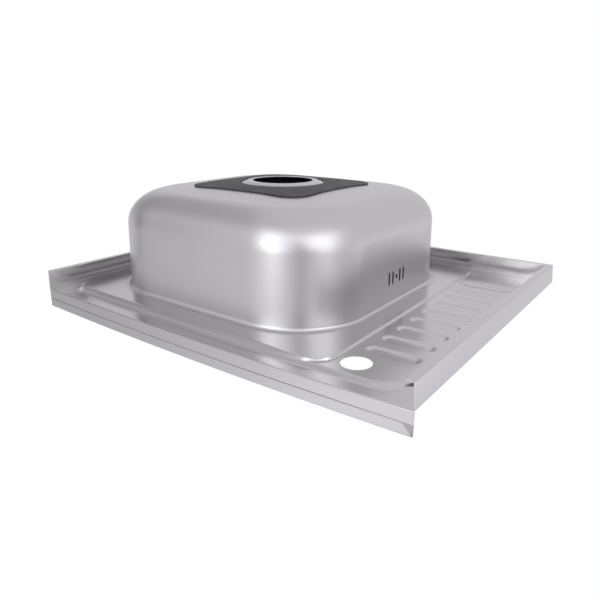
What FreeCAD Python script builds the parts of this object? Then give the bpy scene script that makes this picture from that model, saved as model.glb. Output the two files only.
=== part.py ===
import FreeCAD, Part
import math
import os

# Kitchen sink with drainboard, an overlay model that covers the top of a 600 x 500 cabinet.
# Frame: x to the right, y to the wall behind, z up. z = 0 is the plane of the cabinet's top rim,
# where the return lips rest, and x = y = 0 is the middle of the 600 x 500 outline.

# Driving dimensions, in millimetres. Depths of the pressed fields and of the bowl are measured
# from the underside of the flat border to the underside of the feature.
width = 600.0            # outline, left to right
depth = 500.0            # outline, front skirt to the back of the splash edge
sheet = 0.8              # steel thickness of deck and bowl
bend = 1.2               # radius of a fold, at the middle of the sheet

skirtHeight = 29.7       # deck face down to the seat of the return lips
skirtLean = 2.5          # how far a skirt leans inward at its foot
lipWidth = 9.0           # return lip at the foot of each skirt
upstandHeight = 26.0     # deck face up to the top of the splash edge
hemHeight = 12.0         # hem folded back down behind the splash edge
hemBend = 0.9            # radius of the hem's fold, at the middle of the sheet

rearStrip = 19.5         # flat border between the outline and the sunk field
frontStrip = 19.5
leftStrip = 18.5
rightStrip = 17.0
fieldCorner = 45.0       # corner radius of the sunk field, at the drainer end

surroundDepth = 9.0
surroundRun = 7.5        # how far the slope down to the surround reaches inward
surroundRight = 180.0    # x of the surround's edge at the drainer
surroundCorner = 28.0
drainerDepth = 4.5

barCount = 9             # raised drainer bars
barPitch = 37.8
barMiddle = (229.5, 6.3)  # middle of the row of bars
barLength = 66.5         # at the bar's foot
barWidth = 20.8
barHeight = 2.5
barSlope = 4.2           # run of the bar's sloping side

tapHole = (208.0, 199.0)
tapRadius = 17.5

bowlMiddle = (-47.5, 0.0)
bowlHalf = (198.7, 190.6)  # half the mouth, at the outside of the wall
mouthCorner = 100.0      # corner radius of the mouth
flange = 9.5             # the bowl's own ring outside the wall, welded into the deck
flare = 3.5              # radius between the ring's underside and the wall
wallDraft = 1.4          # degrees
floorDepth = 147.8       # at the floor's rim
floorBend = 49.0         # radius between wall and floor
floorCorner = 84.5       # corner radius of the floor's rim
seatDepth = 151.5        # round the waste seat
seatFoot = 61.0          # radius of the pressed seat at its foot and at its face
seatFace = 54.0
seatDrop = 4.1
wasteRadius = 45.0

slotLength = 18.0        # overflow slots in the bowl's right wall
slotWidth = 4.0
slotPlaces = (-20.5, -10.0, 10.0, 20.5)
overflowDepth = 42.5     # middle of the overflow
overflowScrew = 2.75     # radius of the screw hole between the slots

padHalf = 100.0
padCorner = 30.0
padThickness = 2.0
padOpening = 63.0        # radius of the pad's round cut-out
padHollow = 3.0          # how far each side of the pad is hollowed at its middle

# Places worked out from them.
deckTop = skirtHeight
deckUnder = deckTop - sheet
hemStack = 2.0 * hemBend
left, right = -width / 2.0, width / 2.0
front, rear = -depth / 2.0, depth / 2.0
stripJoin = 8.0                            # a folded strip reaches this far in from the edge
fieldLeft, fieldRight = left + leftStrip, right - rightStrip
fieldFront, fieldRear = front + frontStrip, rear - rearStrip


def vec(x, y, z=0.0):
    return FreeCAD.Vector(x, y, z)


def roundedWire(x0, x1, y0, y1, radius, z):
    """Rectangle with round corners, from its right front corner round to the left."""
    corners = [(x1, y0, -1, 1, -90), (x1, y1, -1, -1, 0), (x0, y1, 1, -1, 90), (x0, y0, 1, 1, 180)]
    arcs = []
    for x, y, sx, sy, start in corners:
        cx, cy = x + sx * radius, y + sy * radius
        points = [vec(cx + radius * math.cos(math.radians(start + turn)),
                      cy + radius * math.sin(math.radians(start + turn)), z) for turn in (0, 45, 90)]
        arcs.append(points)
    edges = []
    for index, points in enumerate(arcs):
        edges.append(Part.Arc(*points).toShape())
        edges.append(Part.LineSegment(points[2], arcs[(index + 1) % 4][0]).toShape())
    return Part.Wire(edges)


def centredWire(middle, halfX, halfY, radius, z):
    x, y = middle
    return roundedWire(x - halfX, x + halfX, y - halfY, y + halfY, radius, z)


def loft(wires, ruled=True):
    return Part.makeLoft(wires, True, ruled)


def prism(wire, height):
    return Part.Face(wire).extrude(vec(0, 0, height))


def block(x0, x1, y0, y1, z0, z1):
    return Part.makeBox(x1 - x0, y1 - y0, z1 - z0, vec(x0, y0, z0))


def stadium(middle, length, across, z):
    """Slot outline with round ends, long along x."""
    x, y = middle
    r, half = across / 2.0, length / 2.0 - across / 2.0
    return Part.Wire([
        Part.LineSegment(vec(x - half, y - r, z), vec(x + half, y - r, z)).toShape(),
        Part.Arc(vec(x + half, y - r, z), vec(x + half + r, y, z), vec(x + half, y + r, z)).toShape(),
        Part.LineSegment(vec(x + half, y + r, z), vec(x - half, y + r, z)).toShape(),
        Part.Arc(vec(x - half, y + r, z), vec(x - half - r, y, z), vec(x - half, y - r, z)).toShape(),
    ])


# ---------------------------------------------------------------- deck sheet

def slopeInset(run, fall):
    """How far the upper face's bend lines lie inside the lower face's, for an even thickness."""
    return sheet * math.tan(math.atan2(fall, run) / 2.0)


def sunkField(x0, x1, corner, run, fall, raised):
    """Pocket of a sunk field down to its floor; raised is 0 for the sheet's underside, 1 for its face."""
    inset = raised * slopeInset(run, fall)
    wires = []
    for share in (-1.0 / fall, 1.0):
        slide = inset + run * share
        wires.append(roundedWire(x0 + slide, x1 - slide, fieldFront + slide, fieldRear - slide, corner - slide,
                                 deckUnder + raised * sheet - fall * share))
    return loft(wires)


def belowSkin(raised):
    """Everything under one side of the pressed panel: raised is 0 for its underside, 1 for its face."""
    lift = deckUnder + raised * sheet
    body = block(left + stripJoin, right - stripJoin, front + stripJoin, rear - stripJoin, -30.0, lift)
    surround = sunkField(fieldLeft, surroundRight + surroundRun, surroundCorner + surroundRun, surroundRun,
                         surroundDepth, raised)
    drainerRun = surroundRun * drainerDepth / surroundDepth
    drainer = sunkField(surroundRight - 120.0, fieldRight, fieldCorner, drainerRun, drainerDepth, raised)
    body = body.cut(surround.fuse(drainer))
    grow = 2 * raised * slopeInset(barSlope, barHeight)
    foot = lift - drainerDepth
    for index in range(barCount):
        middle = (barMiddle[0], barMiddle[1] + (index - (barCount - 1) / 2.0) * barPitch)
        wires = [stadium(middle, barLength + grow - 2 * share * barSlope, barWidth + grow - 2 * share * barSlope,
                         foot + share * barHeight) for share in (-1.0, 1.0)]
        body = body.fuse(loft(wires))
    return body


def pressedPanel():
    panel = belowSkin(1.0).cut(belowSkin(0.0))
    opening = centredWire(bowlMiddle, bowlHalf[0] + flange, bowlHalf[1] + flange, mouthCorner + flange, -20.0)
    tap = Part.makeCylinder(tapRadius, 60.0, vec(tapHole[0], tapHole[1], -20.0))
    return panel.cut(prism(opening, 60.0)).cut(tap)


def foldedProfile(points, place):
    """Face of a folded strip: points are (inward, up, fold radius) along the middle of the sheet."""
    half = sheet / 2.0
    sides = {1: [], -1: []}
    last = (points[0][0], points[0][1])
    for index in range(1, len(points)):
        x, z, radius = points[index]
        px, pz, _ = points[index - 1]
        run = math.hypot(x - px, z - pz)
        dx, dz = (x - px) / run, (z - pz) / run
        if index < len(points) - 1:
            nx, nz, _ = points[index + 1]
            reach = math.hypot(nx - x, nz - z)
            ex, ez = (nx - x) / reach, (nz - z) / reach
            turn = math.atan2(dx * ez - dz * ex, dx * ex + dz * ez)
            back = radius * math.tan(abs(turn) / 2.0)
        else:
            turn, back = 0.0, 0.0
        end = (x - dx * back, z - dz * back)
        for side in sides:
            a = (last[0] - dz * half * side, last[1] + dx * half * side)
            b = (end[0] - dz * half * side, end[1] + dx * half * side)
            if math.hypot(b[0] - a[0], b[1] - a[1]) > 1e-6:
                sides[side].append(Part.LineSegment(place(*a), place(*b)).toShape())
        if turn:
            sense = 1.0 if turn > 0 else -1.0
            cx, cz = end[0] - dz * radius * sense, end[1] + dx * radius * sense
            for side in sides:
                r = radius - half * side * sense
                start = math.atan2(end[1] - cz, end[0] - cx)
                arc = [place(cx + r * math.cos(start + turn * share), cz + r * math.sin(start + turn * share))
                       for share in (0.0, 0.5, 1.0)]
                sides[side].append(Part.Arc(*arc).toShape())
            last = (x + ex * back, z + ez * back)
        else:
            last = end
    first = [side[0].Vertexes[0].Point for side in (sides[1], sides[-1])]
    final = [side[-1].Vertexes[-1].Point for side in (sides[1], sides[-1])]
    caps = [Part.LineSegment(*first).toShape(), Part.LineSegment(*final).toShape()]
    return Part.Face(Part.Wire(Part.__sortEdges__(sides[1] + sides[-1] + caps)))


def foldedStrip(points, corner, along, inward, length):
    """Strip folded to a profile, with mitred ends, along one edge of the deck."""
    def place(u, z):
        return corner + inward * u + vec(0, 0, deckTop + z)

    strip = foldedProfile(points, place).extrude(along * length)
    outer, inner = -4.0, 14.0
    plan = [corner + inward * outer + along * outer, corner + inward * inner + along * inner,
            corner + inward * inner + along * (length - inner), corner + inward * outer + along * (length - outer)]
    plan = [point + vec(0, 0, -20.0) for point in plan]
    return strip.common(prism(Part.makePolygon(plan + plan[:1]), 120.0))


def skirts():
    half = sheet / 2.0
    profile = [(stripJoin, -half, 0), (half, -half, bend), (half + skirtLean, half - skirtHeight, bend),
               (half + skirtLean + lipWidth, half - skirtHeight, 0)]
    span = rear - front
    return [foldedStrip(profile, vec(left, front), vec(0, 1), vec(1, 0), span),
            foldedStrip(profile, vec(right, front), vec(0, 1), vec(-1, 0), span),
            foldedStrip(profile, vec(left, front), vec(1, 0), vec(0, 1), width)]


def splashEdge():
    half = sheet / 2.0
    top = upstandHeight - half
    profile = [(stripJoin, -half, 0), (half, -half, bend), (half, top, hemBend), (half - hemStack, top, hemBend),
               (half - hemStack, upstandHeight - hemHeight, 0)]
    strip = foldedStrip(profile, vec(left, rear), vec(1, 0), vec(0, -1), width)
    crest = deckTop + upstandHeight
    for side in (-1, 1):
        end = side * width / 2.0
        outline = [(end - side * hemHeight, crest - hemHeight), (end, crest), (end, crest + 4.0),
                   (end + side * 6.0, crest + 4.0), (end + side * 6.0, crest - hemHeight - 3.0),
                   (end - side * hemHeight, crest - hemHeight - 3.0)]
        points = [vec(x, rear + 0.1, z) for x, z in outline]
        notch = Part.Face(Part.makePolygon(points + points[:1])).extrude(vec(0, 8.0, 0))
        strip = strip.cut(notch)
    return strip


def deckSheet():
    body = pressedPanel()
    for strip in skirts() + [splashEdge()]:
        body = body.fuse(strip)
    return body.removeSplitter()


# ---------------------------------------------------------------- bowl

def level(drop):
    return deckUnder - drop


def bowlVolume(skin):
    """The bowl's outside (skin 0) or inside (skin = sheet) as a closed volume, from the surround down."""
    draft = math.tan(math.radians(wallDraft))
    wallEnd = floorDepth - floorBend
    foot = skin + (wallEnd - surroundDepth) * draft
    bendRadius = floorBend - skin
    tighter = (mouthCorner - floorCorner) / (foot + bendRadius - skin)

    def ring(inset, drop):
        corner = mouthCorner - skin - tighter * (inset - skin)
        return centredWire(bowlMiddle, bowlHalf[0] - inset, bowlHalf[1] - inset, corner, level(drop))

    start = surroundDepth - sheet
    wall = loft([ring(foot - (wallEnd - start) * draft, start), ring(foot, wallEnd)])
    turns = [math.radians(90.0 * step / 8) for step in range(9)]
    curve = loft([ring(foot + bendRadius * (1 - math.cos(turn)), wallEnd + bendRadius * math.sin(turn))
                  for turn in turns], ruled=False)
    rim = [side - foot - bendRadius for side in bowlHalf]
    domed = []
    for share in (0.0, 0.3, 0.6, 1.0):
        half = [side + (seatFoot + 7.0 - side) * share for side in rim]
        corner = floorCorner - skin + (seatFoot + 4.0 - floorCorner) * share
        drop = floorDepth - skin + (seatDepth - floorDepth) * (1 - (1 - share) ** 2)
        domed.append(centredWire(bowlMiddle, half[0], half[1], corner, level(drop)))
    return wall.fuse(curve).fuse(loft(domed))


def seatVolume(skin):
    """Pressed seat round the waste hole, outside or inside."""
    x, y = bowlMiddle
    step = skin * 0.5
    top = level(seatDepth) + skin
    cone = Part.makeCone(seatFace - step, seatFoot - step, seatDrop, vec(x, y, top - seatDrop))
    return cone.fuse(Part.makeCylinder(seatFoot - step, 2.0, vec(x, y, top)))


def overflow():
    """Slots and screw hole through the bowl's right wall."""
    x = bowlMiddle[0] + bowlHalf[0] - 20.0
    z = level(overflowDepth)
    cutter = Part.makeCylinder(overflowScrew, 40.0, vec(x, bowlMiddle[1], z), vec(1, 0, 0))
    for place in slotPlaces:
        half = (slotLength - slotWidth) / 2.0
        y, r = bowlMiddle[1] + place, slotWidth / 2.0
        cutter = cutter.fuse(block(x, x + 40.0, y - r, y + r, z - half, z + half))
        for end in (-half, half):
            cutter = cutter.fuse(Part.makeCylinder(r, 40.0, vec(x, y, z + end), vec(1, 0, 0)))
    return cutter


def edgesAt(shape, z, halfX, halfY):
    """Edges of a flat loop at one height whose middles lie within a half size of the bowl's middle."""
    found = []
    for edge in shape.Edges:
        box = edge.BoundBox
        if abs(box.ZMin - z) < 0.01 and abs(box.ZMax - z) < 0.01:
            x = max(abs(box.XMin - bowlMiddle[0]), abs(box.XMax - bowlMiddle[0]))
            y = max(abs(box.YMin - bowlMiddle[1]), abs(box.YMax - bowlMiddle[1]))
            if x < halfX and y < halfY:
                found.append(edge)
    return found


def bowl():
    under = level(surroundDepth)
    plate = prism(centredWire(bowlMiddle, bowlHalf[0] + flange, bowlHalf[1] + flange, mouthCorner + flange, under),
                  sheet)
    outside = plate.fuse(bowlVolume(0.0)).removeSplitter()
    corner = edgesAt(outside, under, bowlHalf[0] + 1.0, bowlHalf[1] + 1.0)
    outside = outside.makeFillet(flare, corner)
    cap = prism(centredWire(bowlMiddle, bowlHalf[0] + 60.0, bowlHalf[1] + 60.0, mouthCorner + 60.0, under + sheet),
                20.0)
    inside = cap.fuse(bowlVolume(sheet)).removeSplitter()
    corner = edgesAt(inside, under + sheet, bowlHalf[0] + 1.0, bowlHalf[1] + 1.0)
    inside = inside.makeFillet(flare + sheet, corner)
    body = outside.fuse(seatVolume(0.0)).cut(inside.fuse(seatVolume(sheet)))
    waste = Part.makeCylinder(wasteRadius, 40.0, vec(bowlMiddle[0], bowlMiddle[1], level(seatDepth) - 20.0))
    return body.cut(waste).cut(overflow())


# ---------------------------------------------------------------- sound-deadening pad

def soundPad():
    x, y = bowlMiddle
    z = level(seatDepth) - 20.0
    outline = prism(centredWire(bowlMiddle, padHalf, padHalf, padCorner, z), 40.0)
    chord = padHalf - padCorner
    for turn in (0, 90, 180, 270):
        side = [vec(x + padHalf, y - chord, z), vec(x + padHalf - padHollow, y, z), vec(x + padHalf, y + chord, z)]
        sliver = Part.Wire([Part.Arc(*side).toShape(), Part.LineSegment(side[2], side[0]).toShape()])
        sliver.rotate(vec(x, y), vec(0, 0, 1), turn)
        outline = outline.cut(prism(sliver, 40.0))
    floor = bowlVolume(0.0)
    lowered = floor.copy()
    lowered.translate(vec(0, 0, -padThickness))
    hole = Part.makeCylinder(padOpening, 60.0, vec(bowlMiddle[0], bowlMiddle[1], level(seatDepth) - 30.0))
    return lowered.common(outline).cut(floor).cut(hole)


os.makedirs("parts", exist_ok=True)
for name, shape in (("deck_sheet", deckSheet()), ("bowl", bowl()), ("sound_pad", soundPad())):
    box = shape.BoundBox
    print(name, shape.ShapeType, "solids", len(shape.Solids), "valid", shape.isValid(),
          "volume", round(shape.Volume), "box", [round(v, 2) for v in (box.XMin, box.XMax, box.YMin, box.YMax,
                                                                      box.ZMin, box.ZMax)])
    shape.exportStep("parts/" + name + ".step")
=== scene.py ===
import bpy
import bmesh
import math
from mathutils import Matrix, Vector
from mathutils.geometry import delaunay_2d_cdt


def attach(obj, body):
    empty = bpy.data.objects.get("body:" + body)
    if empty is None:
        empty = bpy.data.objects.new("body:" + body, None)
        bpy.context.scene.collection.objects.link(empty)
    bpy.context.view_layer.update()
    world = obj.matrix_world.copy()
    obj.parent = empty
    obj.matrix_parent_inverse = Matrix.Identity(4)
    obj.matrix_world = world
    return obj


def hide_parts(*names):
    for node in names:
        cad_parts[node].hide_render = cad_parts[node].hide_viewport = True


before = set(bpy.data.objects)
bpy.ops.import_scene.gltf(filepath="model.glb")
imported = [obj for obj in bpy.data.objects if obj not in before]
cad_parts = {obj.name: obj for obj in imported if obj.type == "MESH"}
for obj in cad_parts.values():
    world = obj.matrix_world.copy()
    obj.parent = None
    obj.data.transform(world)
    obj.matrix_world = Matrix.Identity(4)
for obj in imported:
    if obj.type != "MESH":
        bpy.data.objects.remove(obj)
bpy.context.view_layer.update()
mm = 0.001

# the sink's main sizes, in mm, in the sink's own frame (z = 0 is where the lips rest)
sink = dict(width=600.0, depth=500.0, sheet=0.8, deckUnder=28.9, sag=4.4)


# small mesh helpers

def sagAt(x, y):  # the light sheet bows along its rear edge, as the picture shows
    along, back = x / sink["width"] + 0.5, max(y / sink["depth"] + 0.5, 0.0)
    return sink["sag"] * 4 * along * (1 - along) * back ** 2


def makePiece(name, points, faces, material, sharpAngle=32):
    mesh = bpy.data.meshes.new(name)
    mesh.from_pydata([Vector(p) * mm for p in points], [], faces)
    bm = bmesh.new()
    bm.from_mesh(mesh)
    bmesh.ops.remove_doubles(bm, verts=bm.verts, dist=0.00002)
    bmesh.ops.dissolve_degenerate(bm, edges=bm.edges, dist=0.00001)
    bmesh.ops.recalc_face_normals(bm, faces=bm.faces)
    bm.to_mesh(mesh)
    bm.free()
    mesh.shade_smooth()
    mesh.set_sharp_from_angle(angle=math.radians(sharpAngle))
    piece = bpy.data.objects.new(name, mesh)
    bpy.context.scene.collection.objects.link(piece)
    mesh.materials.append(material)
    return piece


def steps(start, end, size):
    count = max(1, round(abs(end - start) / size))
    return [start + (end - start) * i / count for i in range(count)]


def softRamp(d, run, fall, soft):  # straight slope with both of its bends rounded
    def grown(u):
        return 0.0 if u < 0 else u * u / (2 * soft) if u < soft else u - soft / 2
    return fall / run * (grown(d + soft / 2) - grown(d - run + soft / 2))


def insideRounded(x, y, x0, x1, y0, y1, leftRadius, rightRadius):  # distance in from a round-cornered outline
    r = leftRadius if x < (x0 + x1) / 2 else rightRadius
    qx = abs(x - (x0 + x1) / 2) - (x1 - x0) / 2 + r
    qy = abs(y - (y0 + y1) / 2) - (y1 - y0) / 2 + r
    return r - math.hypot(max(qx, 0), max(qy, 0)) - min(max(qx, qy), 0)


def fillFlat(outlines):  # triangles of a flat region: the first outline is its edge, the others are holes
    flat, edges = [], []
    for outline in outlines:
        first = len(flat)
        flat += [Vector(p[:2]) for p in outline]
        edges += [(first + i, first + (i + 1) % len(outline)) for i in range(len(outline))]
    points, _, faces, sources, _, _ = delaunay_2d_cdt(flat, edges, [], 0, 1e-5)
    kept = []
    for face in faces:
        mid = sum((points[i] for i in face), Vector((0, 0))) / len(face)
        inside = [isInside(mid, outline) for outline in outlines]
        a, b, c = (points[i] for i in face)
        if abs((b - a).cross(c - a)) > 1e-4 and inside[0] and not any(inside[1:]):
            kept.append(face)
    return [tuple(p) for p in points], kept


def isInside(point, outline):
    inside = False
    for i, a in enumerate(outline):
        b = outline[i - 1]
        if (a[1] > point[1]) != (b[1] > point[1]):
            if point[0] < (b[0] - a[0]) * (point[1] - a[1]) / (b[1] - a[1]) + a[0]:
                inside = not inside
    return inside


# deck sheet

deck = dict(leftStrip=18.5, rightStrip=17.0, endStrip=19.5, fieldCorner=45.0,
            surroundRight=187.5, surroundCorner=35.5, step=4.5, innerStep=3.0, stepRun=3.75, soft=4.6,
            drainerRun=1.1, steepFrom=110.0, steepTo=160.0,  # the inner step gets steeper toward the drainer
            border=4.0, skirt=29.7, lean=2.5, lip=9.0, bend=1.2,
            upstand=26.0, hem=12.0, hemBend=0.9, hemGap=1.1)  # the gap is in bends
bars = dict(count=9, pitch=37.8, x=229.5, y=6.3, length=66.5, width=20.8, height=2.1, slope=4.6, soft=3.4,
            insets=(-1.6, -1.0, -0.5, 0.0, 0.5, 1.0, 1.6, 2.4, 3.0, 3.6, 4.2, 4.8, 5.4, 6.2))
tap = dict(x=208.0, y=199.0, radius=17.5)
deckGrid = dict(  # lines of the grid as (from, to, spacing), closest over the pressed slopes
    across=((-296, -286, 4), (-286, -240, 1.1), (-240, 140, 12), (140, 168, 1.4), (168, 190, 0.8),
            (190, 226, 3), (226, 276, 1.4), (276, 288, 0.8), (288, 296, 4)),
    back=((-246, -236, 4), (-236, -218, 0.9), (-218, -184, 1.2), (-184, -160, 2), (-160, 0, 12)),
    ledge=(-262.0, 168.0, -208.0, 208.0),  # flat rectangles left out of the grid and filled afterwards
    board=(190.0, 276.0, -184.0, 184.0), tapRoom=(190.0, 226.0, 184.0, 218.0))


def deckDepth(x, y):
    halfX, halfY = sink["width"] / 2, sink["depth"] / 2
    x0, x1, y1 = deck["leftStrip"] - halfX, halfX - deck["rightStrip"], halfY - deck["endStrip"]
    run, step, soft = deck["stepRun"], deck["step"], deck["soft"]
    outer = insideRounded(x, y, x0, x1, -y1, y1, deck["surroundCorner"], deck["fieldCorner"])
    corner = deck["surroundCorner"] - run
    inner = insideRounded(x, y, x0 + run, deck["surroundRight"] - run, run - y1, y1 - run, corner, corner)
    steep = min(max((x - deck["steepFrom"]) / (deck["steepTo"] - deck["steepFrom"]), 0.0), 1.0)
    innerRun = run + (deck["drainerRun"] - run) * steep * steep * (3 - 2 * steep)
    down = softRamp(outer, run, step, soft)
    return down + softRamp(inner, innerRun, deck["innerStep"], soft * innerRun / run)


def stadium(x, y, length, width, count=20):
    r, half = width / 2, (length - width) / 2
    ring = []
    for i in range(count + 1):
        turn = math.pi * (i / count - 0.5)
        ring.append((x + half + r * math.cos(turn), y + r * math.sin(turn)))
    return ring + [(2 * x - px, 2 * y - py) for px, py in ring]


class Skin:  # one face of the sheet, as points and faces; lifted by the sheet's thickness for the other
    def __init__(self):
        self.points, self.faces = [], []

    def add(self, points, faces):
        first = len(self.points)
        self.points += points
        self.faces += [tuple(first + i for i in face) for face in faces]


def pressedSkin(openings):
    skin = Skin()
    ledge, board, tapRoom = deckGrid["ledge"], deckGrid["board"], deckGrid["tapRoom"]
    edge = sink["width"] / 2 - deck["border"]
    xs = [x for span in deckGrid["across"] for x in steps(*span)]
    xs = sorted(set(xs + [edge, ledge[0]]))
    half = [y for span in deckGrid["back"] for y in steps(*span)]
    ys = half + [0.0] + [-y for y in half] + [ledge[2], ledge[3], -tapRoom[3], tapRoom[3]]
    ys = sorted(set(ys))

    def insideOf(box, x, y):
        return box[0] < x < box[1] and box[2] < y < box[3]

    grid = [(x, y, sink["deckUnder"] - deckDepth(x, y)) for y in ys for x in xs]
    faces = []
    for j in range(len(ys) - 1):
        for i in range(len(xs) - 1):
            x, y = (xs[i] + xs[i + 1]) / 2, (ys[j] + ys[j + 1]) / 2
            if any(insideOf(box, x, y) for box in (ledge, board, tapRoom)):
                continue
            a = j * len(xs) + i
            faces.append((a, a + 1, a + 1 + len(xs), a + len(xs)))
    skin.add(grid, faces)

    def sideways(x0, x1, y):
        line = [(x, y) for x in xs if min(x0, x1) - 1e-6 <= x <= max(x0, x1) + 1e-6]
        return line if x1 > x0 else line[::-1]

    def upward(y0, y1, x):
        line = [(x, y) for y in ys if min(y0, y1) - 1e-6 <= y <= max(y0, y1) + 1e-6]
        return line if y1 > y0 else line[::-1]

    x0, x1, y0, y1 = ledge
    around = sideways(x0, x1, y0)[:-1] + upward(y0, y1, x1)[:-1]
    around += sideways(x1, x0, y1)[:-1] + upward(y1, y0, x0)[:-1]
    low = sink["deckUnder"] - deck["step"] - deck["innerStep"]
    points, faces = fillFlat([around, openings["bowl"]])
    skin.add([(x, y, low) for x, y in points], faces)

    mid = sink["deckUnder"] - deck["step"]
    around = sideways(board[0], board[1], board[2])[:-1] + upward(board[2], board[3], board[1])[:-1]
    around += sideways(board[1], tapRoom[1], board[3])[:-1] + upward(tapRoom[2], tapRoom[3], tapRoom[1])[:-1]
    around += sideways(tapRoom[1], tapRoom[0], tapRoom[3])[:-1] + upward(tapRoom[3], board[2], board[0])[:-1]
    holes = [openings["tap"]]
    for i in range(bars["count"]):
        y = bars["y"] + (i - (bars["count"] - 1) / 2) * bars["pitch"]
        rings = [stadium(bars["x"], y, bars["length"] - 2 * d, bars["width"] - 2 * d) for d in bars["insets"]]
        holes.append(rings[0])
        count = len(rings[0])
        points, faces = [], []
        for d, ring in zip(bars["insets"], rings):
            rise = softRamp(d, bars["slope"], bars["height"], bars["soft"])
            points += [(px, py, mid + rise) for px, py in ring]
        for k in range(len(rings) - 1):
            for n in range(count):
                a, b = k * count + n, k * count + (n + 1) % count
                faces.append((a, b, b + count, a + count))
        faces.append(tuple(range((len(rings) - 1) * count, len(rings) * count)))
        skin.add(points, faces)
    points, faces = fillFlat([around] + holes)
    skin.add([(x, y, mid) for x, y in points], faces)
    return skin


def thicken(skin, lift):  # both faces of the sheet and the cut edges of its openings
    bm = bmesh.new()
    verts = [bm.verts.new(p) for p in skin.points]
    for face in skin.faces:
        try:
            bm.faces.new([verts[i] for i in face])
        except ValueError:
            pass
    bmesh.ops.remove_doubles(bm, verts=bm.verts, dist=0.02)
    bmesh.ops.recalc_face_normals(bm, faces=bm.faces)
    bm.normal_update()
    up = sum(f.normal.z for f in bm.faces) > 0
    if not up:
        bmesh.ops.reverse_faces(bm, faces=bm.faces)
    bm.normal_update()
    loose = [v for v in bm.verts if not v.link_faces]
    bmesh.ops.delete(bm, geom=loose, context="VERTS")
    bm.verts.index_update()
    low = [v.co.copy() for v in bm.verts]
    high = [v.co + v.normal * lift for v in bm.verts]
    count = len(low)
    faces = []
    for f in bm.faces:
        ring = [v.index for v in f.verts]
        faces.append(tuple(count + i for i in ring))
        faces.append(tuple(reversed(ring)))
    for e in bm.edges:
        if len(e.link_faces) == 1:
            loop = e.link_loops[0]
            a, b = loop.vert.index, loop.link_loop_next.vert.index
            faces.append((a, b, count + b, count + a))
    bm.free()
    return low + high, faces


def foldedProfile(path, sheet):  # closed outline of a folded strip from the middle line of the sheet
    sides = ([], [])
    bendSteps = 8
    last = Vector(path[0][:2])
    for i in range(1, len(path)):
        here, before = Vector(path[i][:2]), Vector(path[i - 1][:2])
        way = (here - before).normalized()
        turn = back = 0.0
        if i < len(path) - 1:
            onward = (Vector(path[i + 1][:2]) - here).normalized()
            turn = math.atan2(way.x * onward.y - way.y * onward.x, way.dot(onward))
            back = path[i][2] * math.tan(abs(turn) / 2)
        end = here - way * back
        for side, sign in zip(sides, (1, -1)):
            normal = Vector((-way.y, way.x)) * sign * sheet / 2
            side += [last + normal, end + normal]
        if turn:
            sense = 1 if turn > 0 else -1
            centre = end + Vector((-way.y, way.x)) * path[i][2] * sense
            start = math.atan2(end.y - centre.y, end.x - centre.x)
            for side, sign in zip(sides, (1, -1)):
                r = path[i][2] - sign * sense * sheet / 2
                for k in range(1, bendSteps):
                    angle = start + turn * k / bendSteps
                    side.append(centre + Vector((math.cos(angle), math.sin(angle))) * r)
            last = here + onward * back
        else:
            last = end
    return sides[0] + sides[1][::-1]


def foldedStrip(path, corner, along, inward, length, trimmed=None, squareEnd=False):
    outline = foldedProfile(path, sink["sheet"])
    top = sink["deckUnder"] + sink["sheet"]
    columns = 41
    points, faces = [], []
    for c in range(columns):
        for p in outline:
            cut = max(p.x, 0.0)
            if trimmed and p.x < -sink["sheet"] * 0.6:
                cut = max(cut, trimmed - p.y)
            end = 0 if squareEnd else cut
            at = cut + (length - cut - end) * c / (columns - 1)
            spot = Vector(corner) + Vector(along) * at + Vector(inward) * p.x
            points.append((spot.x, spot.y, top + p.y))
    count = len(outline)
    for c in range(columns - 1):
        for i in range(count):
            a, b = c * count + i, c * count + (i + 1) % count
            faces.append((a, b, b + count, a + count))
    faces.append(tuple(range(count)))
    faces.append(tuple(range((columns - 1) * count, columns * count)))
    return points, faces


def makeDeck(material):
    halfX, halfY, half = sink["width"] / 2, sink["depth"] / 2, sink["sheet"] / 2
    count = 220
    tapTurns = [2 * math.pi * i / 64 for i in range(64)]
    openings = {
        "bowl": [bowlRing(2 * math.pi * i / count, bowl["flange"]) for i in range(count)],
        "tap": [(tap["x"] + tap["radius"] * math.cos(t), tap["y"] + tap["radius"] * math.sin(t))
                for t in tapTurns]}
    points, faces = thicken(pressedSkin(openings), sink["sheet"])
    parts = [(points, faces)]
    foot = half - deck["skirt"]
    skirt = [(deck["border"], -half, 0), (half, -half, deck["bend"]),
             (half + deck["lean"], foot, deck["bend"]), (half + deck["lean"] + deck["lip"], foot, 0)]
    crest = deck["upstand"] - half
    splash = [(deck["border"], -half, 0), (half, -half, deck["bend"]), (half, crest, deck["hemBend"]),
              (half - 2 * deck["hemBend"], crest, deck["hemBend"]),
              (half - deck["hemGap"] * deck["hemBend"], deck["upstand"] - deck["hem"], 0)]
    parts.append(foldedStrip(skirt, (-halfX, -halfY, 0), (0, 1, 0), (1, 0, 0), sink["depth"], squareEnd=True))
    parts.append(foldedStrip(skirt, (halfX, -halfY, 0), (0, 1, 0), (-1, 0, 0), sink["depth"], squareEnd=True))
    parts.append(foldedStrip(skirt, (-halfX, -halfY, 0), (1, 0, 0), (0, 1, 0), sink["width"]))
    rear = (-halfX, halfY, 0)
    parts.append(foldedStrip(splash, rear, (1, 0, 0), (0, -1, 0), sink["width"], deck["upstand"]))
    allPoints, allFaces = [], []
    for points, faces in parts:
        first = len(allPoints)
        allPoints += [(p[0], p[1], p[2] + sagAt(p[0], p[1])) for p in points]
        allFaces += [tuple(first + i for i in face) for face in faces]
    return makePiece("deckSheet", allPoints, allFaces, material)


# bowl

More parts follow.
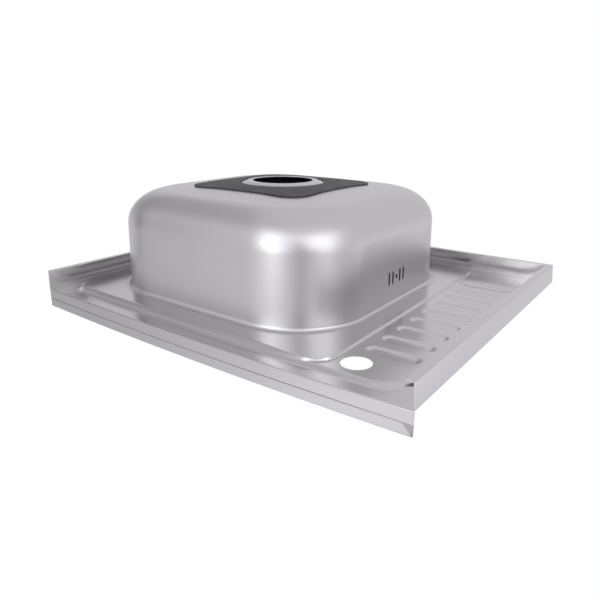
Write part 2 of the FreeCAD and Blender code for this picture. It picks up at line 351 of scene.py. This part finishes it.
bowl = dict(x=-47.5, y=0.0, halfX=198.7, halfY=190.6, corner=100.0, flange=9.5, flare=5.0, draft=1.4,
            mouth=7.5, floorRim=147.0, floorBend=49.0, floorCorner=84.5, seatFloor=153.5,
            seatFoot=61.0, seatFace=54.0, seatDrop=4.1, waste=45.0, dome=1.25,
            flareSteps=8, bendSteps=24, domeSteps=14,
            footRounding=((2.0, 0), (0.7, 0.25), (-0.8, 1.1)),  # the seat's bends as (radius more, rise)
            faceRounding=((0.8, -1.1), (-0.7, -0.25), (-2.0, 0), (-5.0, 0)),
            wallRows=(15.0, 21.0, 29.0, 36.0, 42.5, 49.0, 56.0, 64.0, 72.0, 80.0, 88.0, 94.0))
overflow = dict(depth=42.5, places=(-20.5, -10.0, 10.0, 20.5), length=18.0, width=4.0, screw=2.75,
                patchHalf=28.0, patchRows=(29.0, 56.0))  # the stretch of wall that the slots are cut in


def rayToRounded(turn, halfX, halfY, r):  # where a ray from the middle meets a round-cornered rectangle
    cx, sy = math.cos(turn), math.sin(turn)
    ax, ay = abs(cx), abs(sy)
    if ay * halfX <= ax * (halfY - r):
        reach = halfX / ax
    elif ax * halfY <= ay * (halfX - r):
        reach = halfY / ay
    else:
        px, py = halfX - r, halfY - r
        along = ax * px + ay * py
        reach = along + math.sqrt(max(along * along - (px * px + py * py - r * r), 0))
    return reach * cx, reach * sy


def bowlRing(turn, out):
    x, y = rayToRounded(turn, bowl["halfX"] + out, bowl["halfY"] + out, bowl["corner"] + out)
    return bowl["x"] + x, bowl["y"] + y


def bowlProfile():  # rings from the mouth to the waste hole: half width, half length, corner radius, depth
    tilt = math.radians(bowl["draft"])
    wallEnd = bowl["floorRim"] - bowl["floorBend"]
    foot = (wallEnd - bowl["mouth"]) * math.tan(tilt)
    tighter = (bowl["corner"] - bowl["floorCorner"]) / (foot + bowl["floorBend"])
    rows = [(bowl["flange"], bowl["mouth"]), (bowl["flare"] + 2.0, bowl["mouth"])]
    centre = bowl["flare"] / math.cos(tilt) - bowl["flare"] * math.tan(tilt)
    for k in range(bowl["flareSteps"] + 1):
        a = (math.pi / 2 - tilt) * k / bowl["flareSteps"]
        rows.append((centre - bowl["flare"] * math.sin(a),
                     bowl["mouth"] + bowl["flare"] - bowl["flare"] * math.cos(a)))
    for depth in bowl["wallRows"]:
        rows.append((-(depth - bowl["mouth"]) * math.tan(tilt), depth))
    for k in range(bowl["bendSteps"] + 1):
        a = math.pi / 2 * k / bowl["bendSteps"]
        bend = bowl["floorBend"]
        rows.append((-foot - bend * (1 - math.cos(a)), wallEnd + bend * math.sin(a)))
    rings = []
    for out, depth in rows:
        r = bowl["corner"] + out if out > 0 else bowl["corner"] + tighter * out
        rings.append((bowl["halfX"] + out, bowl["halfY"] + out, r, depth))
    rim = rings[-1]
    for k in range(1, bowl["domeSteps"] + 1):
        share = k / bowl["domeSteps"]
        end = bowl["seatFoot"] + 5.0
        drop = rim[3] + (bowl["seatFloor"] - rim[3]) * (1 - (1 - share) ** bowl["dome"])
        rings.append((rim[0] + (end - rim[0]) * share, rim[1] + (end - rim[1]) * share,
                      rim[2] + (end - rim[2]) * share, drop))
    for r, rise in bowl["footRounding"]:
        rings.append((bowl["seatFoot"] + r,) * 3 + (bowl["seatFloor"] + rise,))
    for r, rise in bowl["faceRounding"]:
        rings.append((bowl["seatFace"] + r,) * 3 + (bowl["seatFloor"] + bowl["seatDrop"] + rise,))
    rings.append((bowl["waste"],) * 3 + (bowl["seatFloor"] + bowl["seatDrop"],))
    return rings


def bowlSkin():
    skin = Skin()
    rings = bowlProfile()
    corner = [math.atan2(bowl["halfY"] - bowl["corner"], bowl["halfX"]),
              math.atan2(bowl["halfY"], bowl["halfX"] - bowl["corner"])]
    patchTurn = math.atan2(overflow["patchHalf"], bowl["halfX"])
    # turns between columns, closest round the corners
    quarter = steps(0, patchTurn, 0.05) + steps(patchTurn, corner[0], 0.06)
    quarter += steps(corner[0], corner[1], 0.034) + steps(corner[1], math.pi / 2, 0.06)
    turns = quarter + [math.pi / 2] + [math.pi - t for t in reversed(quarter[1:])]
    turns += [t + math.pi for t in quarter] + [1.5 * math.pi]
    turns += [2 * math.pi - t for t in reversed(quarter[1:])]
    turns = sorted(set(round(t, 9) for t in turns))
    count = len(turns)
    limit = patchTurn + 1e-6
    patchTop, patchFoot = overflow["patchRows"]
    points, faces = [], []
    for halfX, halfY, r, depth in rings:
        for t in turns:
            x, y = rayToRounded(t, halfX, halfY, r)
            points.append((bowl["x"] + x, bowl["y"] + y, sink["deckUnder"] - depth))
    for k in range(len(rings) - 1):
        for i in range(count):
            a, b = k * count + i, k * count + (i + 1) % count
            mid = (turns[i] + (turns[(i + 1) % count] or 2 * math.pi)) / 2
            near = min(mid, 2 * math.pi - mid)
            if near < limit and patchTop <= (rings[k][3] + rings[k + 1][3]) / 2 <= patchFoot:
                continue
            faces.append((a, b, b + count, a + count))
    skin.faces = faces
    side = [i for i in range(count) if min(turns[i], 2 * math.pi - turns[i]) < limit]
    side.sort(key=lambda i: turns[i] if turns[i] < math.pi else turns[i] - 2 * math.pi)
    rows = [k for k in range(len(rings)) if patchTop - 0.1 <= rings[k][3] <= patchFoot + 0.1]
    for k in rows:  # the patch's two sides are straight
        for i in (side[0], side[-1]):
            px, py, pz = points[k * count + i]
            points[k * count + i] = (px, math.copysign(overflow["patchHalf"], py), pz)
    skin.points = points
    loop = [points[rows[0] * count + i] for i in side]
    loop += [points[k * count + side[-1]] for k in rows[1:]]
    loop += [points[rows[-1] * count + i] for i in side[-2::-1]]
    loop += [points[k * count + side[0]] for k in rows[-2:0:-1]]
    tilt = math.tan(math.radians(bowl["draft"]))
    holes = []
    for place in overflow["places"]:
        slot = stadium(0, 0, overflow["length"], overflow["width"], 12)
        holes.append([(place - v, overflow["depth"] + u) for u, v in slot])
    ring = [2 * math.pi * i / 20 for i in range(20)]
    r = overflow["screw"]
    holes.append([(r * math.cos(t), overflow["depth"] + r * math.sin(t)) for t in ring])
    flat, faces = fillFlat([[(p[1], sink["deckUnder"] - p[2]) for p in loop]] + holes)
    mouthX = bowl["x"] + bowl["halfX"]
    skin.add([(mouthX - (d - bowl["mouth"]) * tilt, y, sink["deckUnder"] - d) for y, d in flat], faces)
    return skin


def makeBowl(material):
    points, faces = thicken(bowlSkin(), sink["sheet"])
    lowest = sink["deckUnder"] - bowl["floorRim"]
    points = [(x, y, z + sagAt(x, y) * max(z - lowest, 0) / bowl["floorRim"]) for x, y, z in points]
    return makePiece("bowlPan", points, faces, material)


# sound-deadening pad

pad = dict(half=102.0, corner=30.0, hollow=3.0, thickness=2.0, opening=63.0)


def floorDepthAt(x, y):  # outside of the bowl's floor, as depth below the deck, at a point from its middle
    rings = [r for r in bowlProfile() if bowl["floorRim"] - 1e-6 <= r[3] <= bowl["seatFloor"] + 1e-6]
    turn = math.atan2(y, x)
    reach = math.hypot(x, y)
    spots = sorted((math.hypot(*rayToRounded(turn, r[0], r[1], r[2])), r[3]) for r in rings)
    for (r0, d0), (r1, d1) in zip(spots, spots[1:]):
        if r0 <= reach <= r1:
            return d0 + (d1 - d0) * (reach - r0) / (r1 - r0)
    return spots[0][1] if reach < spots[0][0] else spots[-1][1]


def padEdge(turn):
    x, y = rayToRounded(turn, pad["half"], pad["half"], pad["corner"])
    chord = pad["half"] - pad["corner"]
    for a, b in ((x, y), (y, x)):
        if abs(b) < chord and abs(a) > pad["half"] - 1e-6:
            pull = pad["hollow"] * (1 - (b / chord) ** 2)
            return x * (1 - pull / abs(a)), y * (1 - pull / abs(a))
    return x, y


def makePad(material):
    count, rows = 180, 14
    low, high = [], []
    levels = [i / rows for i in range(rows + 1)]
    for share in levels:
        for i in range(count):
            turn = 2 * math.pi * i / count
            ex, ey = padEdge(turn)
            outer = math.hypot(ex, ey)
            reach = pad["opening"] + (outer - pad["opening"]) * share
            x, y = reach * math.cos(turn), reach * math.sin(turn)
            z = sink["deckUnder"] - floorDepthAt(x, y)
            low.append((bowl["x"] + x, bowl["y"] + y, z))
            high.append((bowl["x"] + x, bowl["y"] + y, z - pad["thickness"]))
    points = low + high
    total = len(low)
    faces = []
    last = len(levels) - 1
    for k in range(last):
        for i in range(count):
            a, b = k * count + i, k * count + (i + 1) % count
            faces.append((a, b, b + count, a + count))
            faces.append((total + a, total + a + count, total + b + count, total + b))
    for k in (0, last):
        for i in range(count):
            a, b = k * count + i, k * count + (i + 1) % count
            faces.append((a, b, total + b, total + a))
    return makePiece("soundPad", points, faces, material, 50)


# materials

def nodeMaker(material):
    material.use_nodes = True
    tree = material.node_tree
    tree.nodes.clear()

    def add(kind, **settings):
        node = tree.nodes.new(kind)
        for key, value in settings.items():
            if key.startswith("in_"):
                node.inputs[key[3:].replace("_", " ")].default_value = value
            else:
                setattr(node, key, value)
        return node

    def link(a, b):
        tree.links.new(a, b)
    return add, link


def steelMaterial(name, look):
    material = bpy.data.materials.new(name)
    add, link = nodeMaker(material)
    out = add("ShaderNodeOutputMaterial")
    shader = add("ShaderNodeBsdfPrincipled")
    shader.inputs["Metallic"].default_value = 1.0
    link(shader.outputs["BSDF"], out.inputs["Surface"])
    place = add("ShaderNodeTexCoord")
    stretch = add("ShaderNodeMapping")
    stretch.inputs["Scale"].default_value = look["grain"]
    link(place.outputs["Object"], stretch.inputs["Vector"])
    grain = add("ShaderNodeTexNoise")
    grain.inputs["Scale"].default_value = 1.0
    grain.inputs["Detail"].default_value = 4.0
    link(stretch.outputs["Vector"], grain.inputs["Vector"])
    cloud = add("ShaderNodeTexNoise")
    cloud.inputs["Scale"].default_value = look["cloudScale"]
    cloud.inputs["Detail"].default_value = 3.0
    link(place.outputs["Object"], cloud.inputs["Vector"])
    tone = add("ShaderNodeMapRange")
    tone.inputs["To Min"].default_value = 1 - look["toneSpread"]
    tone.inputs["To Max"].default_value = 1 + look["toneSpread"]
    link(grain.outputs["Fac"], tone.inputs["Value"])
    colour = add("ShaderNodeMixRGB", blend_type="MULTIPLY")
    colour.inputs["Fac"].default_value = 1.0
    colour.inputs["Color1"].default_value = look["colour"] + (1,)
    link(tone.outputs["Result"], colour.inputs["Color2"])
    link(colour.outputs["Color"], shader.inputs["Base Color"])
    rough = add("ShaderNodeMapRange")
    rough.inputs["To Min"].default_value = look["roughness"][0]
    rough.inputs["To Max"].default_value = look["roughness"][1]
    mixed = add("ShaderNodeMath", operation="ADD")
    half = add("ShaderNodeMath", operation="MULTIPLY")
    half.inputs[1].default_value = 0.5
    link(grain.outputs["Fac"], mixed.inputs[0])
    link(cloud.outputs["Fac"], mixed.inputs[1])
    link(mixed.outputs["Value"], half.inputs[0])
    link(half.outputs["Value"], rough.inputs["Value"])
    link(rough.outputs["Result"], shader.inputs["Roughness"])
    bump = add("ShaderNodeBump")
    bump.inputs["Strength"].default_value = look["grainBump"]
    bump.inputs["Distance"].default_value = 0.00002
    link(grain.outputs["Fac"], bump.inputs["Height"])
    wave = add("ShaderNodeBump")
    wave.inputs["Strength"].default_value = look["wave"]
    wave.inputs["Distance"].default_value = 0.001
    link(cloud.outputs["Fac"], wave.inputs["Height"])
    link(wave.outputs["Normal"], bump.inputs["Normal"])
    link(bump.outputs["Normal"], shader.inputs["Normal"])
    return material


def rubberMaterial(name, look):
    material = bpy.data.materials.new(name)
    add, link = nodeMaker(material)
    out = add("ShaderNodeOutputMaterial")
    shader = add("ShaderNodeBsdfPrincipled")
    link(shader.outputs["BSDF"], out.inputs["Surface"])
    place = add("ShaderNodeTexCoord")
    speck = add("ShaderNodeTexNoise")
    speck.inputs["Scale"].default_value = look["speckScale"]
    speck.inputs["Detail"].default_value = 3.0
    link(place.outputs["Object"], speck.inputs["Vector"])
    dust = add("ShaderNodeTexNoise")
    dust.inputs["Scale"].default_value = look["dustScale"]
    dust.inputs["Detail"].default_value = 5.0
    link(place.outputs["Object"], dust.inputs["Vector"])
    ramp = add("ShaderNodeValToRGB")
    ramp.color_ramp.elements[0].position = look["dustRange"][0]
    ramp.color_ramp.elements[0].color = look["dark"] + (1,)
    ramp.color_ramp.elements[1].position = look["dustRange"][1]
    ramp.color_ramp.elements[1].color = look["light"] + (1,)
    link(dust.outputs["Fac"], ramp.inputs["Fac"])
    link(ramp.outputs["Color"], shader.inputs["Base Color"])
    shader.inputs["Roughness"].default_value = look["roughness"]
    bump = add("ShaderNodeBump")
    bump.inputs["Strength"].default_value = look["speckBump"]
    bump.inputs["Distance"].default_value = 0.0003
    link(speck.outputs["Fac"], bump.inputs["Height"])
    link(bump.outputs["Normal"], shader.inputs["Normal"])
    return material


deckLook = dict(colour=(0.608, 0.602, 0.602), roughness=(0.17, 0.26), grain=(6.0, 900.0, 900.0),
                grainBump=0.25, toneSpread=0.04, cloudScale=9.0, wave=0.25)
bowlLook = dict(colour=(0.608, 0.602, 0.602), roughness=(0.32, 0.38), grain=(300.0, 300.0, 300.0),
                grainBump=0.08, toneSpread=0.03, cloudScale=14.0, wave=0.1)
padLook = dict(dark=(0.018, 0.018, 0.019), light=(0.046, 0.046, 0.048), roughness=0.6,
               speckScale=900.0, speckBump=0.5, dustScale=45.0, dustRange=(0.35, 0.7))

deckSteel = steelMaterial("satinDeckSteel", deckLook)
bowlSteel = steelMaterial("satinBowlSteel", bowlLook)
padRubber = rubberMaterial("blackPadRubber", padLook)

deckSheet = makeDeck(deckSteel)
print("deck sheet made:", len(deckSheet.data.vertices), "points")
bowlPan = makeBowl(bowlSteel)
print("bowl made:", len(bowlPan.data.vertices), "points")
soundPad = makePad(padRubber)
print("pad made:", len(soundPad.data.vertices), "points")

for piece, node, slot in ((deckSheet, "deck_sheet", "satin_steel"), (bowlPan, "bowl", "satin_steel"),
                          (soundPad, "sound_pad", "black_rubber")):
    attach(piece, "root")
    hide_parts(node)

# camera, from below and behind: the sink lies face down in the picture

view = dict(place=(475.3, 662.2, -226.4), yaw=-36.47, pitch=18.94, roll=-0.30, lens=33.0, sensor=36.0)


def makeCamera():
    yaw, pitch, roll = (math.radians(view[k]) for k in ("yaw", "pitch", "roll"))
    ahead = Vector((math.sin(yaw) * math.cos(pitch), math.cos(yaw) * math.cos(pitch), -math.sin(pitch)))
    across = Vector((math.cos(yaw), -math.sin(yaw), 0))
    down = ahead.cross(across)
    right = across * math.cos(roll) + down * math.sin(roll)
    under = down * math.cos(roll) - across * math.sin(roll)
    # the picture shows the sink upside down
    turned = [Vector((v.x, -v.y, -v.z)) for v in (right, -under, -ahead)]
    data = bpy.data.cameras.new("camera")
    data.lens, data.sensor_width = view["lens"], view["sensor"]
    data.clip_start, data.clip_end = 0.01, 50.0
    camera = bpy.data.objects.new("camera", data)
    place = Matrix.Translation(Vector(view["place"]) * mm)
    camera.matrix_world = place @ Matrix(turned).transposed().to_4x4()
    bpy.context.scene.collection.objects.link(camera)
    bpy.context.scene.camera = camera


# light and floor

studio = dict(base=0.78, tint=(1.0, 0.985, 1.035), panels=(
    # azimuth, height above the horizon with the sink in use, half width, half height, strength
    (20, -32, 24, 23, 1.25),  # right streak on the bowl's near corner
    (14, 0, 12, 14, 0.7),
    (102, -26, 12, 27, 1.65),  # left streak
    (78, -26, 12, 27, 0.75),
    (90, 0, 10, 12, 1.46),
    (50, -10, 10, 30, -0.5),  # darker between the two
    (180, -30, 26, 22, -0.4),  # darker toward the bowl's left shoulder
    (152, 14, 13, 13, -0.21),
    (152, -6, 13, 13, -0.5),
    (120, -58, 26, 24, -0.1),
    (116, 30, 12, 12, 0.37),
    (310, 14, 13, 13, 0.33),
    (80, 50, 30, 16, -0.38),  # these two bring out the bars in views from above
    (250, 52, 30, 16, 0.3),
))
floor = dict(under=-129.4, span=8000.0, fadeStart=1.1, fadeEnd=2.6, colour=(0.80, 0.80, 0.80))
# the card blocks light at the bowl's mouth, and its near-black colour is painted shade for the inside of the
# face-down bowl
card = dict(inset=-1.5, heights=(11.6, 12.0), colour=(0.02, 0.02, 0.02))


def makeWorld():  # one pale world with soft panels in it; the camera sees plain white
    world = bpy.data.worlds.new("studio")
    bpy.context.scene.world = world
    add, link = nodeMaker(world)
    out = add("ShaderNodeOutputWorld")
    place = add("ShaderNodeTexCoord")

    def fourth(direction, half):  # (how far to the side, over the panel's half size) to the fourth power
        side = add("ShaderNodeVectorMath", operation="DOT_PRODUCT")
        side.inputs[1].default_value = direction / math.sin(math.radians(half))
        link(place.outputs["Generated"], side.inputs[0])
        size = add("ShaderNodeMath", operation="ABSOLUTE")
        link(side.outputs["Value"], size.inputs[0])
        power = add("ShaderNodeMath", operation="POWER")
        power.inputs[1].default_value = 4.0
        link(size.outputs["Value"], power.inputs[0])
        return power.outputs["Value"]

    total = add("ShaderNodeValue").outputs["Value"]
    total.default_value = studio["base"]
    for azimuth, height, halfWidth, halfHeight, strength in studio["panels"]:
        a, h = math.radians(azimuth), math.radians(height)
        middle = Vector((math.cos(h) * math.cos(a), math.cos(h) * math.sin(a), math.sin(h)))
        across = Vector((-math.sin(a), math.cos(a), 0))
        both = add("ShaderNodeMath", operation="ADD")
        link(fourth(across, halfWidth), both.inputs[0])
        link(fourth(middle.cross(across), halfHeight), both.inputs[1])
        fall = add("ShaderNodeMath", operation="POWER")
        fall.inputs[0].default_value = math.exp(-1)
        link(both.outputs["Value"], fall.inputs[1])
        ahead = add("ShaderNodeVectorMath", operation="DOT_PRODUCT")
        ahead.inputs[1].default_value = middle
        link(place.outputs["Generated"], ahead.inputs[0])
        front = add("ShaderNodeMath", operation="GREATER_THAN")
        front.inputs[1].default_value = 0.0
        link(ahead.outputs["Value"], front.inputs[0])
        glow = add("ShaderNodeMath", operation="MULTIPLY")
        link(fall.outputs["Value"], glow.inputs[0])
        link(front.outputs["Value"], glow.inputs[1])
        more = add("ShaderNodeMath", operation="MULTIPLY_ADD")
        more.inputs[1].default_value = strength
        link(glow.outputs["Value"], more.inputs[0])
        link(total, more.inputs[2])
        total = more.outputs["Value"]
    light = add("ShaderNodeBackground", in_Color=studio["tint"] + (1,))
    link(total, light.inputs["Strength"])
    shown = add("ShaderNodeBackground", in_Color=(1, 1, 1, 1), in_Strength=1.0)
    path = add("ShaderNodeLightPath")
    mix = add("ShaderNodeMixShader")
    link(path.outputs["Is Camera Ray"], mix.inputs["Fac"])
    link(light.outputs["Background"], mix.inputs[1])
    link(shown.outputs["Background"], mix.inputs[2])
    link(mix.outputs["Shader"], out.inputs["Surface"])


def stagePiece(name, points, faces, material):  # floor and card aren't part of the sink
    mesh = bpy.data.meshes.new(name)
    mesh.from_pydata([Vector(p) * mm for p in points], [], faces)
    mesh.materials.append(material)
    piece = bpy.data.objects.new(name, mesh)
    bpy.context.scene.collection.objects.link(piece)
    return piece


def makeFloor():  # under the sink in use; the picture's camera is below it, and it shows from above only
    material = bpy.data.materials.new("paleFloor")
    add, link = nodeMaker(material)
    out = add("ShaderNodeOutputMaterial")
    matt = add("ShaderNodeBsdfDiffuse", in_Color=floor["colour"] + (1,))
    white = add("ShaderNodeEmission", in_Strength=1.0)
    clear = add("ShaderNodeBsdfTransparent")
    where = add("ShaderNodeNewGeometry")
    far = add("ShaderNodeVectorMath", operation="LENGTH")
    link(where.outputs["Position"], far.inputs[0])
    fade = add("ShaderNodeMapRange", interpolation_type="SMOOTHSTEP")
    fade.inputs["From Min"].default_value = floor["fadeStart"]
    fade.inputs["From Max"].default_value = floor["fadeEnd"]
    link(far.outputs["Value"], fade.inputs["Value"])
    cove = add("ShaderNodeMixShader")
    link(fade.outputs["Result"], cove.inputs["Fac"])
    link(matt.outputs["BSDF"], cove.inputs[1])
    link(white.outputs["Emission"], cove.inputs[2])
    side = add("ShaderNodeMixShader")
    link(where.outputs["Backfacing"], side.inputs["Fac"])
    link(cove.outputs["Shader"], side.inputs[1])
    link(clear.outputs["BSDF"], side.inputs[2])
    link(side.outputs["Shader"], out.inputs["Surface"])
    half, z = floor["span"] / 2, floor["under"]
    corners = [(-half, -half, z), (half, -half, z), (half, half, z), (-half, half, z)]
    slab = stagePiece("floor", corners, [(0, 1, 2, 3)], material)
    slab.visible_diffuse = slab.visible_glossy = slab.visible_transmission = slab.visible_shadow = False


def makeCard():  # the sink lies face down in the picture, so the bowl is dark inside: a card closes its mouth
    material = bpy.data.materials.new("paintedShadeCard")
    add, link = nodeMaker(material)
    out = add("ShaderNodeOutputMaterial")
    # painted shade: the near-black colour darkens what the bowl's inner walls reflect, on top of the light
    # that the card blocks
    matt = add("ShaderNodeBsdfDiffuse", in_Color=card["colour"] + (1,))
    clear = add("ShaderNodeBsdfTransparent")
    where = add("ShaderNodeNewGeometry")
    path = add("ShaderNodeLightPath")
    crossed = add("ShaderNodeMath", operation="GREATER_THAN")  # true for what has come through both layers
    crossed.inputs[1].default_value = 1.5
    passed = add("ShaderNodeMath", operation="MAXIMUM")
    link(path.outputs["Transparent Depth"], crossed.inputs[0])
    link(where.outputs["Backfacing"], passed.inputs[0])
    link(crossed.outputs["Value"], passed.inputs[1])
    mix = add("ShaderNodeMixShader")
    link(passed.outputs["Value"], mix.inputs["Fac"])
    link(matt.outputs["BSDF"], mix.inputs[1])
    link(clear.outputs["BSDF"], mix.inputs[2])
    link(mix.outputs["Shader"], out.inputs["Surface"])
    count = 96
    outline = [bowlRing(2 * math.pi * i / count, card["inset"]) for i in range(count)]
    points = [(x, y, z) for z in card["heights"] for x, y in outline]
    layers = [tuple(range(count - 1, -1, -1)), tuple(range(2 * count - 1, count - 1, -1))]
    stagePiece("card", points, layers, material)


makeCamera()
makeWorld()
makeFloor()
makeCard()
bpy.context.scene.view_settings.view_transform = "Standard"
print("camera, light, floor and card made")
